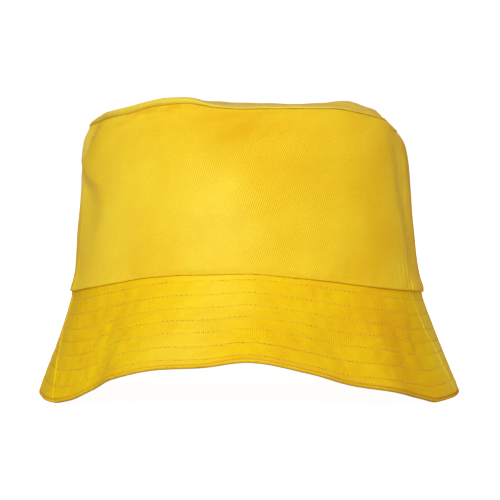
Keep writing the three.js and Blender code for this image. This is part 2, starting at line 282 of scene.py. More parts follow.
def unevenness(seed, across, along, cell_across, cell_along):
    """Smooth random values about -1 to 1 over the cloth, with bumps of the given size."""
    table = np.random.RandomState(seed).uniform(-1, 1, (TABLE_SIZE, TABLE_SIZE))
    total = 0
    a, b = across / cell_across, along / cell_along
    i, j = np.floor(a).astype(int), np.floor(b).astype(int)

    def weights(part):
        rest = 1 - part
        return [rest ** 3 / 6, (3 * part ** 3 - 6 * part ** 2 + 4) / 6,
                (3 * rest ** 3 - 6 * rest ** 2 + 4) / 6, part ** 3 / 6]

    for p, weight_across in enumerate(weights(a - i)):
        for q, weight_along in enumerate(weights(b - j)):
            cells = table[(i + p) % TABLE_SIZE, (j + q) % TABLE_SIZE]
            total = total + weight_across * weight_along * cells
    return 2 * total


def facing(grid, closed=False):
    """The outward direction at each place of a grid whose rows run down the cloth."""
    if closed:
        across = np.roll(grid, -1, 1) - np.roll(grid, 1, 1)
    else:
        across = np.gradient(grid, axis=1)
    out = np.cross(np.gradient(grid, axis=0), across)
    return out / np.linalg.norm(out, axis=-1, keepdims=True)


def run_length(grid, axis):
    """How far along its row or column each place of a grid lies."""
    steps = np.linalg.norm(np.diff(grid, axis=axis), axis=-1)
    start = np.zeros_like(np.take(steps, [0], axis))
    return np.cumsum(np.concatenate([start, steps], axis), axis)


CLOSE_STEPS = np.array([0, 0.12, 0.3, 0.55, 0.85, 1.2]) * MM
EDGE_LINES = len(CLOSE_STEPS)
MOST_ROLLED = 0.88
INNER_STEP = 3


def with_close_edges(count, length):
    """Shares from 0 to 1 in count steps, with a few more close to each end where an edge is rolled."""
    close = CLOSE_STEPS / length
    middle = np.linspace(0, 1, count + 1)
    middle = middle[(middle > 1.5 * close[-1]) & (middle < 1 - 1.5 * close[-1])]
    return np.concatenate([close, middle, 1 - close[::-1]])


def rolled(outer, inner, edge, width):
    """Both faces of a cloth, rolled round to meet along its edges."""
    near = np.clip(1 - edge / width, 0, 1)
    share = np.minimum(1 - np.sqrt(1 - near ** 2), MOST_ROLLED)[..., None] / 2
    return outer + (inner - outer) * share, inner + (outer - inner) * share


def kept(count, closed=False):
    """The rows or columns that the plainer inner face keeps."""
    if closed:
        return list(range(0, count, INNER_STEP))
    last = count - EDGE_LINES
    return sorted({*range(EDGE_LINES), *range(EDGE_LINES, last, INNER_STEP), *range(last, count)})


def cloth_piece(name, outer, inner, cloth, marks, rows=None, closed=False, pole=False):
    """A closed solid of an outer face, a plainer inner face and the edges between, as a Blender object."""
    count, width = outer.shape[:2]
    keep_rows, keep_columns = kept(count), kept(width, closed)
    front = np.arange(count * width).reshape(count, width)
    back = count * width + np.arange(len(keep_rows) * len(keep_columns)).reshape(len(keep_rows), -1)
    picked = np.ix_(keep_rows, keep_columns)
    points = np.concatenate([outer.reshape(-1, 3), inner[picked].reshape(-1, 3)])
    ends = keep_columns + [width] if closed else keep_columns
    if closed:
        front = np.concatenate([front, front[:, :1]], 1)
        back = np.concatenate([back, back[:, :1]], 1)

    def quads(index):
        return np.stack([index[:-1, :-1], index[1:, :-1], index[1:, 1:], index[:-1, 1:]], -1).reshape(-1, 4)

    faces = quads(front).tolist() + quads(back)[:, ::-1].tolist()
    for i, (a, b) in enumerate(zip(ends[:-1], ends[1:])):
        if not pole:
            faces.append([*front[0, a:b + 1], back[0, i + 1], back[0, i]])
        faces.append([*front[-1, a:b + 1][::-1], back[-1, i], back[-1, i + 1]])
    if not closed:
        for i, (a, b) in enumerate(zip(keep_rows[:-1], keep_rows[1:])):
            faces.append([*front[a:b + 1, 0][::-1], back[i, 0], back[i + 1, 0]])
            faces.append([*front[a:b + 1, -1], back[i + 1, -1], back[i, -1]])
    pick = [cloth, marks] + ([rows] if rows is not None else [])
    layers = [np.concatenate([layer.reshape(-1, layer.shape[-1]), layer[picked].reshape(-1, layer.shape[-1])])
              for layer in pick]
    if pole:
        for index, middle in ((front[0], outer[0].mean(0)), (back[0][::-1], inner[0].mean(0))):
            top = len(points)
            points = np.append(points, [middle], axis=0)
            layers = [np.append(layer, [layer[index[0]]], axis=0) for layer in layers]
            layers[0][top] = middle[:2]
            faces += [[top, a, b] for a, b in zip(index[:-1], index[1:])]

    made = smooth_object(name, points.tolist(), [[int(corner) for corner in face] for face in faces])
    mesh = made.data
    corners = np.empty(len(mesh.loops), int)
    mesh.loops.foreach_get("vertex_index", corners)
    for layer_name, layer in zip(("cloth", "rows"), [layers[0], *layers[2:]]):
        mesh.uv_layers.new(name=layer_name).data.foreach_set("uv", layer[corners].ravel())
    shades = mesh.color_attributes.new(name="marks", type="FLOAT_COLOR", domain="POINT")
    shades.data.foreach_set("color", np.append(layers[1], np.ones((len(points), 1)), axis=1).ravel())
    mesh.update()
    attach(made, "root")
    return made


def maths(tree, operation, *feeds):
    return node(tree, "Math", enumerate(feeds), operation=operation).outputs[0]


def ranged(tree, feed, low, high):
    """0 below low and 1 above high, smooth between."""
    feeds = {"Value": feed, "From Min": low, "From Max": high}
    return node(tree, "MapRange", feeds, interpolation_type="SMOOTHSTEP").outputs["Result"]


def noise(tree, place, scale, detail, roughness=0.5):
    feeds = {"Vector": place, "Scale": scale, "Detail": detail, "Roughness": roughness}
    return node(tree, "TexNoise", feeds).outputs["Fac"]


def group(name, inputs, outputs):
    """An empty shader node group, with the sockets of its input node and its output node."""
    tree = bpy.data.node_groups.new(name, "ShaderNodeTree")
    for way, sockets in (("INPUT", inputs), ("OUTPUT", outputs)):
        for socket, kind in sockets.items():
            tree.interface.new_socket(socket, in_out=way, socket_type="NodeSocket" + kind)
    return tree, tree.nodes.new("NodeGroupInput").outputs, tree.nodes.new("NodeGroupOutput")


# Twill: fine steep ribs of cotton yarn, a little uneven, with fibres on top and a faint mottle of dye.
RIB_PITCH = 1.2 * MM
RIB_SLANT = 0.2
FLOAT_PITCH = 0.8 * MM
RIB_SWAY = 1.6
YARN_SHARE = 0.4
SIDE_CALM = -0.8
# How far wear and painted highlight pale the yarn, and the pale yellow they go to.
WEAR_AND_HIGHLIGHT = 0.45
WEAR_AND_HIGHLIGHT_YARN = (0.96, 0.83, 0.13, 1)
# Bumps a metre.
SWAY_SCALE = 160.0
FIBRE_SCALE = 750.0
MOTTLE_SCALE = 38.0
PATCH_SCALE = 70.0
BROAD_SCALE = 15.0

twill, given, result = group(
    "twill",
    {"Cloth": "Vector", "Wear and highlight": "Float", "Shade": "Float", "Smooth": "Float",
     "Light yarn": "Color", "Deep yarn": "Color"},
    {"Color": "Color", "Roughness": "Float", "Height": "Float"},
)
flat = node(twill, "SeparateXYZ", {0: given["Cloth"]}).outputs
sway = noise(twill, given["Cloth"], SWAY_SCALE, detail=2.0)
fibre = noise(twill, given["Cloth"], FIBRE_SCALE, detail=3.0)
mottle = noise(twill, given["Cloth"], MOTTLE_SCALE, detail=4.0, roughness=0.6)
patches = noise(twill, given["Cloth"], PATCH_SCALE, detail=1.0)
broad = noise(twill, given["Cloth"], BROAD_SCALE, detail=1.0)

# The ribs lean a little and sway, and each is notched where its yarn dips under the next.
slant = maths(twill, "MULTIPLY_ADD", flat["Y"], RIB_SLANT, flat["X"])
rib_phase = maths(
    twill, "MULTIPLY_ADD", sway, RIB_SWAY, maths(twill, "MULTIPLY", slant, 2 * math.pi / RIB_PITCH)
)
rib = maths(twill, "MULTIPLY_ADD", maths(twill, "SINE", rib_phase), 0.5, 0.5)
float_phase = maths(twill, "MULTIPLY", flat["Y"], 2 * math.pi / FLOAT_PITCH)
yarn = maths(twill, "MULTIPLY_ADD", maths(twill, "SINE", float_phase), 0.5, 0.5)
weave = maths(twill, "MULTIPLY", rib, maths(twill, "MULTIPLY_ADD", yarn, YARN_SHARE, 1 - YARN_SHARE))
crisp = maths(twill, "MULTIPLY_ADD", given["Smooth"], SIDE_CALM, 1.0)
twill.links.new(
    maths(twill, "MULTIPLY_ADD", fibre, 0.5, maths(twill, "MULTIPLY", weave, crisp)), result.inputs["Height"]
)

# The yarn's tone: the weave, clear in some patches and faint in others, then fibres and the mottle of the dye.
clear = maths(twill, "MULTIPLY_ADD", ranged(twill, patches, 0.42, 0.6), 1.2, 0.3)
clear = maths(twill, "MULTIPLY", clear, crisp)
tone = maths(twill, "MULTIPLY_ADD", maths(twill, "SUBTRACT", weave, 0.4), clear, 0.5)
tone = maths(twill, "MULTIPLY_ADD", maths(twill, "SUBTRACT", fibre, 0.5), 0.6, tone)
tone = maths(twill, "MULTIPLY_ADD", maths(twill, "SUBTRACT", mottle, 0.5), 0.8, tone)
tone = maths(twill, "MULTIPLY_ADD", maths(twill, "SUBTRACT", broad, 0.5), 0.6, tone)
# Then the marks: paler and towards the pale yellow for wear and painted highlight, deeper for painted shade.
tone = maths(twill, "ADD", tone, maths(twill, "MULTIPLY", given["Wear and highlight"], WEAR_AND_HIGHLIGHT))
tone = node(twill, "Math", {0: tone, 1: given["Shade"]}, operation="SUBTRACT", use_clamp=True).outputs[0]
dyed = mixed(twill, tone, given["Deep yarn"], given["Light yarn"])
wear_and_highlight_share = node(twill, "Math", {0: given["Wear and highlight"], 1: WEAR_AND_HIGHLIGHT}, operation="MULTIPLY", use_clamp=True).outputs[0]
dyed = mixed(twill, wear_and_highlight_share, dyed, WEAR_AND_HIGHLIGHT_YARN)
twill.links.new(dyed, result.inputs["Color"])
twill.links.new(maths(twill, "MULTIPLY_ADD", fibre, 0.25, 0.62), result.inputs["Roughness"])


TWILL_SHINE = 0.18
SHEEN_ROUGHNESS = 0.45
SHEEN_TINT = (1.0, 0.85, 0.55, 1)
WEAVE_STRENGTH = 0.55
WEAVE_DEPTH = 0.12 * MM


def cloth_material(name, light, deep, sheen):
    """A twill finish that takes wear and painted highlight, painted shade with some deeper tone, and smoothness
    from the mesh's marks: red, green and blue.
    """
    made = bpy.data.materials.new(name)
    made.use_nodes = True
    tree = made.node_tree
    shader = tree.nodes["Principled BSDF"]
    shader.inputs["Specular IOR Level"].default_value = TWILL_SHINE
    shader.inputs["Sheen Weight"].default_value = sheen
    shader.inputs["Sheen Roughness"].default_value = SHEEN_ROUGHNESS
    shader.inputs["Sheen Tint"].default_value = SHEEN_TINT
    marks = node(tree, "SeparateColor", {0: node(tree, "Attribute", attribute_name="marks").outputs["Color"]})
    woven = node(tree, "Group", node_tree=twill)
    place = node(tree, "UVMap", uv_map="cloth").outputs["UV"]
    for socket, feed in (("Cloth", place), ("Wear and highlight", marks.outputs["Red"]), ("Shade", marks.outputs["Green"]),
                         ("Smooth", marks.outputs["Blue"])):
        tree.links.new(feed, woven.inputs[socket])
    woven.inputs["Light yarn"].default_value = light
    woven.inputs["Deep yarn"].default_value = deep
    bump = node(
        tree, "Bump", {"Height": woven.outputs["Height"], "Strength": WEAVE_STRENGTH, "Distance": WEAVE_DEPTH}
    )
    tree.links.new(woven.outputs["Color"], shader.inputs["Base Color"])
    tree.links.new(woven.outputs["Roughness"], shader.inputs["Roughness"])
    tree.links.new(bump.outputs["Normal"], shader.inputs["Normal"])
    return made


CROWN_LIGHT = (0.96, 0.82, 0.038, 1)
CROWN_DEEP = (0.84, 0.54, 0.003, 1)
crown_twill = cloth_material("crown_twill", CROWN_LIGHT, CROWN_DEEP, sheen=0.12)

# Down the wall: share of its height, and the bearings of the left and the right side seam.
SIDE_SEAMS = np.array([(0, -66, 73), (0.15, -73, 73), (0.4, -76, 72), (1, -76, 68)])
SEAM_GAP = 0.03
PANEL_ROUND = 270 * MM
PANEL_DROP = 94 * MM
WAVE = 0.55 * MM
SMALL_WAVE = 0.35
PUCKER = 0.3 * MM
PUCKER_REACH = 7 * MM
EDGE_FADE = 3 * MM
HEM_SHARE = 0.2
FLUTE = 4.6 * MM
FLUTE_DEPTH = 0.4 * MM
FOLD_WIDTH = 0.5 * MM
SEAM_FOLD = 0.15 * MM
TURNED_IN = 0.3 * MM
TURN_WIDTH = 2 * MM
# The sizes of the waves and puckers, across and down the cloth.
WAVE_CELLS = (34 * MM, 30 * MM)
SMALL_CELLS = (13 * MM, 15 * MM)
SIDE_CELLS = (9 * MM, 4 * MM)
HEM_CELLS = (4 * MM, 9 * MM)
RAGGED_CELLS = (4 * MM, 2 * MM)
# How strongly each mark shows: the paler and deeper patches of painted light and tone, the worn edges, the
# painted shadow under the tip's edge and the painted shade in a side seam, and how wide that painted shade is.
PALE = 0.8
PALE_EDGE = 0.08
DEEP = 0.35
SHADOW_UNDER_LIP = 1.4
SIDE_SEAM_SHADE = 0.7
SIDE_SEAM_SHADE_WIDTH = 0.5 * MM
SIDE_SMOOTH = 1.4


def between_seams(seams, place, share, at_back):
    """The bearing at a share of the way across a front or a back panel, at a place down the side seams."""
    left, right = (curve(seams[:, 0], seams[:, column], place) for column in (1, 2))
    start, end = (right, left + 360) if at_back else (left, right)
    return start + SEAM_GAP + (end - start - 2 * SEAM_GAP) * share


# Paler and deeper patches of the cloth: on the front and sides these are painted highlight and painted shade
# that follow how the lamps fall, and at the back uneven tone. Bearing, share of the way down, how far each fades
# out in degrees and in share of the way down, and how much paler it is, or deeper below 0.
CROWN_TONES_AND_PAINTED_LIGHT = [(-9, 0.68, 13, 0.4, 0.7), (13, 0.25, 13, 0.35, -0.6), (-4, 0.1, 15, 0.16, -1.7),
               (-81, 0.1, 6, 0.1, 1.3), (-66, 0.12, 5, 0.1, -0.6),
               (48, 0.65, 10, 0.5, -0.6), (-50, 0.6, 20, 0.6, 0.35), (72, 0.45, 9, 0.5, 0.5),
               (-84, 0.3, 12, 0.3, 1.0), (150, 0.5, 25, 0.5, 0.6), (215, 0.4, 20, 0.4, -0.5)]


def tones_and_painted_light(table, bearing, place):
    """How much paler and how much deeper the cloth is painted, each from 0 up: painted highlight and painted
    shade, with some uneven tone.
    """
    total = 0
    for middle, down, width, height, amount in table:
        aside = (bearing - middle + 180) % 360 - 180
        total = total + amount * np.exp(-(aside / width) ** 2 - ((place - down) / height) ** 2)
    return np.clip(total, 0, None), np.clip(-total, 0, None)


def crown_panel(name, at_back, columns, rows, seed, replaced):
    share, drop = np.meshgrid(with_close_edges(columns, PANEL_ROUND), with_close_edges(rows, PANEL_DROP))
    bearing = between_seams(SIDE_SEAMS, drop, share, at_back)
    bare = wall_place(bearing, drop, 0)
    out = facing(bare)
    across, along = run_length(bare, 1), run_length(bare, 0)
    side = np.minimum(across, across[:, -1:] - across)
    hem = np.minimum(along, along[-1:] - along)
    relief = WAVE * unevenness(seed, across, along, *WAVE_CELLS)
    relief = relief + SMALL_WAVE * WAVE * unevenness(seed + 1, across, along, *SMALL_CELLS)
    relief = relief + PUCKER * unevenness(seed + 2, across, along, *SIDE_CELLS) * np.exp(-side / PUCKER_REACH)
    relief = relief + PUCKER * unevenness(seed + 3, across, along, *HEM_CELLS) * np.exp(-hem / PUCKER_REACH)
    flutes = np.cos(2 * math.pi * side / FLUTE) * np.exp(-side / PUCKER_REACH) * np.clip(2.5 * drop - 1.5, 0, 1)
    relief = relief * np.clip(hem / EDGE_FADE, HEM_SHARE, 1) * np.clip(side / EDGE_FADE, 0, 1)
    relief = relief + FLUTE_DEPTH * flutes
    relief = relief - TURNED_IN * np.exp(-((along[-1:] - along) / TURN_WIDTH) ** 2)
    outer = bare + out * relief[..., None]
    inner = outer - out * CLOTH
    outer, inner = rolled(outer, inner, hem, FOLD_WIDTH)
    outer, inner = rolled(outer, inner, side, SEAM_FOLD)
    edge = np.exp(-np.minimum(side, hem) / (1.2 * MM))
    pale, deep = tones_and_painted_light(CROWN_TONES_AND_PAINTED_LIGHT, bearing, drop)
    # Painted shadow under the tip's rolled edge, ragged along the seam and strongest where the edge stands high.
    ragged = np.clip(0.4 + 1.2 * unevenness(seed + 4, across, along, *RAGGED_CELLS), 0, 1.4)
    shadow_under_lip = np.clip(lip_share(bearing) - 0.5, 0, 1) * ragged * np.exp(-along / (3.5 * MM))
    # The painted shade adds up: under the rolled edge, in the deeper patches and along the side seams.
    shade = SHADOW_UNDER_LIP * shadow_under_lip + DEEP * deep + SIDE_SEAM_SHADE * np.exp(-side / SIDE_SEAM_SHADE_WIDTH)
    smooth = np.clip(SIDE_SMOOTH * np.sin(np.radians(bearing)) ** 2, 0, 1)
    marks = np.stack([PALE_EDGE * edge + PALE * pale, shade, smooth], -1)
    panel = cloth_piece(name, outer, inner, np.stack([across, along], -1), marks)
    panel.data.materials.append(crown_twill)
    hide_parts(replaced)


crown_panel("front_wall", at_back=False, columns=330, rows=100, seed=11, replaced="crown_front")
crown_panel("back_wall", at_back=True, columns=350, rows=90, seed=23, replaced="crown_back")


# The tip is one oval of the same twill, slack in the middle. Its seam with the wall is turned up inside,
# which makes a soft rolled edge that stands a little above the seam and out past it.

TIP_LIP = 3.5 * MM
TIP_SAG = 3 * MM
ALLOWANCE = 7 * MM
TIP_INSIDE = 1.5 * MM
TIP_STEP = 0.75
# The slack field's rings, as shares of the way from the middle to the tip's edge, and the rows of the mesh
# across the field, the rolled edge and the cloth tucked inside.
FIELD_RINGS = (0.01, 0.16, 0.32, 0.48, 0.62, 0.74, 0.84, 0.9)
FIELD_ROWS = 26
LIP_ROWS = 40
TUCKED_ROWS = 6
# The tip's deep yarn is a dull tan, the colour of its painted shade.
TIP_LIGHT = (0.97, 0.82, 0.03, 1)
TIP_DEEP = (0.68, 0.5, 0.08, 1)

tip_bearing = np.arange(0, 360, TIP_STEP)[None, :]


def crest_height(bearing):
    return tip_height(bearing) + TIP_LIP * lip_share(bearing)


crest_waves = np.fft.rfft(crest_height(tip_bearing))
wave_number = np.arange(crest_waves.size)


def field_place(reach):
    """A ring of the slack field: each wave of its edge dies out towards the middle, as in a soap film."""
    height = np.fft.irfft(crest_waves * reach ** wave_number, tip_bearing.size) - TIP_SAG * (1 - reach ** 2)
    place = on_oval(tip_bearing, TIP_WIDTH * reach, TIP_DEPTH * reach, 0, height)
    place[..., 0] += CROWN_LEAN
    return place


# The rolled edge from the field outwards: how far in from the wall in mm where it is low and where it is
# high, and its share of the lip's height.
LIP_LINE = [(5.5, 6.5, 1.0), (4.2, 4.6, 1.02), (3.0, 3.0, 1.02), (2.0, 1.6, 0.97), (1.1, 0.6, 0.84),
            (0.4, -0.1, 0.62), (0.05, -0.35, 0.4), (0.1, -0.1, 0.16), (0.7, 0.6, -0.02), (1.5, 1.5, -0.12)]
LOW_LIP = 0.4
HIGH_LIP = 1.2


def lip_place(low_inset, high_inset, share):
    lip = lip_share(tip_bearing)
    height = np.clip((lip - LOW_LIP) / (HIGH_LIP - LOW_LIP), 0, 1)
    inset = low_inset + (high_inset - low_inset) * height
    place = wall_place(tip_bearing, np.zeros_like(tip_bearing), inset * MM)
    place[..., 2] = tip_height(tip_bearing) + share * TIP_LIP * lip
    return place


tucked_drop = ALLOWANCE / (CROWN_HEIGHT * wall_share(tip_bearing))
tip_line = np.concatenate(
    [field_place(reach) for reach in FIELD_RINGS]
    + [lip_place(*row) for row in LIP_LINE]
    + [wall_place(tip_bearing, tucked_drop, TIP_INSIDE)]
)
tip_steps = np.concatenate([[0], np.cumsum(np.linalg.norm(np.diff(tip_line, axis=0), axis=-1).mean(1))])
field_end = tip_steps[len(FIELD_RINGS) - 1]
tip_rows = np.concatenate([
    np.linspace(0, field_end, FIELD_ROWS)[:-1],
    np.linspace(field_end, tip_steps[-2], LIP_ROWS)[:-1],
    np.linspace(tip_steps[-2], tip_steps[-1], TUCKED_ROWS),
])
bare_tip = curve(tip_steps, tip_line, tip_rows)
tip_out = facing(bare_tip, closed=True)
from_wall = tip_steps[-2] - tip_rows[:, None]
tip_along = np.broadcast_to(from_wall, bare_tip.shape[:2])

# The field is wavy towards the middle, and the cloth beside the rolled edge is lightly pleated.
FIELD_WAVE = 0.9 * MM
FIELD_RIPPLE = 0.3 * MM
LIP_PLEAT = 0.28 * MM
NOISE_CORNER = 0.3
x, y = bare_tip[..., 0] + NOISE_CORNER, bare_tip[..., 1] + NOISE_CORNER
tip_relief = FIELD_WAVE * unevenness(41, x, y, 30 * MM, 26 * MM)
tip_relief = tip_relief + FIELD_RIPPLE * unevenness(42, x, y, 11 * MM, 11 * MM)
tip_relief = tip_relief * np.clip((tip_along - 6 * MM) / (20 * MM), 0, 1)
pleat = unevenness(43, x, y, 6 * MM, 6 * MM) * np.exp(-np.abs(tip_along - 5 * MM) / (7 * MM))
tip_relief = tip_relief + LIP_PLEAT * pleat
tip_outer = bare_tip + tip_out * tip_relief[..., None]
tip_inner = tip_outer - tip_out * CLOTH

# The cloth's own places lie straight out from the tip's middle. Its crest has a painted highlight, its seam a
# painted shade, and the top just inside the rolled edge a painted shade that fades out towards the middle.
SPOKE_ROW = 7
middle = bare_tip[0].mean(0)[:2]
outward = bare_tip[SPOKE_ROW, :, :2] - middle
outward /= np.linalg.norm(outward, axis=-1, keepdims=True)
tip_cloth = run_length(bare_tip, 0)[..., None] * outward
lip_height = np.clip((lip_share(tip_bearing) - LOW_LIP) / (HIGH_LIP - LOW_LIP), 0, 1)
crest = np.exp(-((tip_along - (2.6 + lip_height) * MM) / (0.9 * MM)) ** 2)
seam_shade = np.exp(-(tip_along / (0.9 * MM)) ** 2)
top_shade = np.clip((tip_along / MM - 3.2 - 1.8 * lip_height) / 1.2, 0, 1)
top_shade = top_shade * np.exp(-np.clip(tip_along - 8 * MM, 0, None) / (6 * MM))
tip = cloth_piece(
    "tip_panel",
    tip_outer,
    tip_inner,
    tip_cloth,
    np.stack([0.3 * crest, 0.25 * seam_shade + 0.8 * top_shade, 0.5 + 0 * crest], -1),
    closed=True,
    pole=True,
)
tip.data.materials.append(cloth_material("tip_twill", TIP_LIGHT, TIP_DEEP, sheen=0.14))
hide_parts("tip")


# The brim's upper ply is a front and a back half of the same twill over a stiffening under ply. Seven rows
# of topstitching run round it and draw the cloth down in shallow channels, with small puckers between.

BRIM_INSET = 2.2 * MM
BRIM_BOW = 0.8 * MM
PLY = 1.1 * MM
GAP = 0.3 * MM
HEM = 2 * MM
STITCH = 2.9 * MM
ROW_OFFSET = 0.37
BRIM_ROUND = 330 * MM
BRIM_DROP = 61 * MM
BRIM_LIGHT = (0.95, 0.8, 0.003, 1)
BRIM_DEEP = (0.82, 0.48, 0.001, 1)

# Each row's share of the way from the brim's seam to its rim, at the front and back and at the sides.
STITCH_ROWS = [(0.066, 0.088), (0.212, 0.221), (0.352, 0.357), (0.487, 0.466), (0.625, 0.575), (0.78, 0.7),
               (0.92, 0.842)]


def brim_place(bearing, run, inset):
    """The place on the brim at a bearing and a share of the way to its rim, moved in by the inset."""
    reach = BRIM_WIDTH * reach_share(bearing)
    top = BRIM_WIDTH * seam_share(bearing)
    fall = top - BRIM_WIDTH * rim_share(bearing)
    length = np.hypot(reach + BRIM_INSET, fall)
    hollow = 4 * run * (1 - run) * BRIM_BOW + inset
    return on_oval(
        bearing,
        CROWN_WIDTH,
        CROWN_DEPTH,
        -BRIM_INSET + (reach + BRIM_INSET) * run - fall / length * hollow,
        top - fall * run - (reach + BRIM_INSET) / length * hollow,
    )


def row_run(row, bearing):
    """A stitch row's share of the way from the brim's seam to its rim."""
    front, side = STITCH_ROWS[row]
    return front + (side - front) * np.sin(np.radians(bearing)) ** 2


row_bearings = np.arange(-180, 180.1, 0.25)
row_counts = []
for row in range(len(STITCH_ROWS)):
    path = brim_place(row_bearings, row_run(row, row_bearings), 0)
    gone = run_length(path[None], 1)[0]
    row_counts.append(gone / gone[-1] * round(gone[-1] / STITCH) + ROW_OFFSET * row)


def row_layer(bearing, run, length):
    """Across a ply: the stitch count along the nearest row, and how far from that row, in mm."""
    turned = (bearing + 180) % 360 - 180
    away = np.stack([(run - row_run(row, bearing)) * length / MM for row in range(len(STITCH_ROWS))])
    counts = np.stack([np.interp(turned, row_bearings, count) for count in row_counts])
    nearest = np.argmin(np.abs(away), axis=0)[None]
    return np.stack([
        np.take_along_axis(counts, nearest, 0)[0], np.take_along_axis(away, nearest, 0)[0]], -1)


CLOTH_A_DEGREE = 1.9
CHANNEL_DEPTH = 0.17 * MM
BETWEEN_ROWS = 0.06 * MM
BRIM_PUCKER = 0.42 * MM
CALM_SIDES = 0.85
BRIM_WAVE = 0.45 * MM
BRIM_RIPPLE = 0.13 * MM
SIDE_RIPPLE = 0.07 * MM


def brim_relief(bearing, along, away):
    """The channels of the stitch rows and the cloth between them, above the bare brim."""
    across = bearing * CLOTH_A_DEGREE * MM + 1
    sideways = np.sin(np.radians(bearing)) ** 4
    channel = -CHANNEL_DEPTH * np.exp(-(away / 0.9) ** 2) + BETWEEN_ROWS
    puckers = BRIM_PUCKER * unevenness(61, across, along, 3.6 * MM, 5.5 * MM) * (1 - np.exp(-(away / 1.6) ** 2))
    puckers = puckers * (1 - CALM_SIDES * sideways)
    wave = BRIM_WAVE * unevenness(62, across, along, 30 * MM, 24 * MM)
    wave = wave + BRIM_RIPPLE * unevenness(63, across, along, 10 * MM, 12 * MM)
    ripples = SIDE_RIPPLE * unevenness(64, across, along, 26 * MM, 1.7 * MM) * sideways
    return channel + puckers + wave + ripples


# Beside the plain weave, the brim's finish has the needle's holes, open in some places and closed in others,
# each a dot of painted shade, and a painted shade in the channel of each row.
HOLE_COLOR = (0.4, 0.17, 0.002, 1)
HOLE_STRENGTH = 0.75
HOLE_DEPTH = -2.0
PULL_SCALE = 140.0
ROW_SHADE = 0.04
SIDE_ROW_SHADE = 0.25
BRIM_SMOOTH = 0.5
BRIM_SIDE_SMOOTH = 0.4

stitched_twill = cloth_material("stitched_twill", BRIM_LIGHT, BRIM_DEEP, sheen=0.02)
tree = stitched_twill.node_tree
woven = next(n for n in tree.nodes if n.bl_idname == "ShaderNodeGroup")
bump = next(n for n in tree.nodes if n.bl_idname == "ShaderNodeBump")
marks = next(n for n in tree.nodes if n.bl_idname == "ShaderNodeSeparateColor")
row_place = node(tree, "SeparateXYZ", {0: node(tree, "UVMap", uv_map="rows").outputs["UV"]}).outputs
aside = maths(tree, "ABSOLUTE", row_place["Y"])
from_hole = maths(
    tree, "ABSOLUTE", maths(tree, "SUBTRACT", maths(tree, "FRACT", maths(tree, "ADD", row_place["X"], 0.5)), 0.5)
)
hole = maths(tree, "MULTIPLY", ranged(tree, aside, 0.5, 0.15), ranged(tree, from_hole, 0.17, 0.06))
pull = noise(tree, node(tree, "UVMap", uv_map="cloth").outputs["UV"], PULL_SCALE, detail=1.0)
hole = maths(tree, "MULTIPLY", hole, ranged(tree, pull, 0.38, 0.66))
channel = ranged(tree, aside, 0.8, 0.15)
row_shade = maths(tree, "MULTIPLY_ADD", marks.outputs["Blue"], SIDE_ROW_SHADE, ROW_SHADE)
sunk = maths(tree, "MULTIPLY", channel, row_shade)
smooth = maths(tree, "MULTIPLY_ADD", marks.outputs["Blue"], BRIM_SIDE_SMOOTH, BRIM_SMOOTH)
tree.links.new(maths(tree, "ADD", sunk, marks.outputs["Green"]), woven.inputs["Shade"])
tree.links.new(smooth, woven.inputs["Smooth"])
pierced = mixed(tree, maths(tree, "MULTIPLY", hole, HOLE_STRENGTH), woven.outputs["Color"], HOLE_COLOR)
tree.links.new(pierced, tree.nodes["Principled BSDF"].inputs["Base Color"])
holed = maths(tree, "MULTIPLY_ADD", hole, HOLE_DEPTH, woven.outputs["Height"])
tree.links.new(holed, bump.inputs["Height"])


def brim_length(bearing):
    fall = BRIM_WIDTH * (seam_share(bearing) - rim_share(bearing))
    return np.hypot(BRIM_WIDTH * reach_share(bearing) + BRIM_INSET, fall)


# Down the brim: share of the way to its rim, and the bearings of the left and the right side seam.
BRIM_SEAMS = np.array([(0, -80, 67), (0.34, -79, 69), (0.5, -75, 72), (0.7, -68, 74), (1, -61, 78)])

# As the crown's painted highlight, painted shade and uneven tone, with the share of the way to the rim.
BRIM_TONES_AND_PAINTED_LIGHT = [(-8, 0.2, 10, 0.5, 0.5), (-17, 0.85, 9, 0.3, 0.5), (9, 0.85, 9, 0.22, -0.5),
              (46, 0.45, 14, 0.4, -1.2), (84, 0.4, 12, 1, 2.0), (-94, 0.6, 12, 0.6, 1.6),
              (140, 0.5, 30, 0.6, 0.5), (205, 0.5, 20, 0.6, -0.4)]


SEAM_SWELL = 0.6 * MM
SIDE_RIDGE = 0.13 * MM
PLY_ROLL = 0.9 * MM
SEAM_SHADE = 0.1
HEM_SHADE = 1.2
RIGHT_EDGE_HIGHLIGHT = 0.6


def hem_line(bearing):
    """How dark the painted shade in the crack above the hem is: full at the front and right, and faint at the
    left.
    """
    return 0.3 + 0.7 * np.clip((np.sin(np.radians(bearing)) + 0.2) / 0.2, 0, 1)


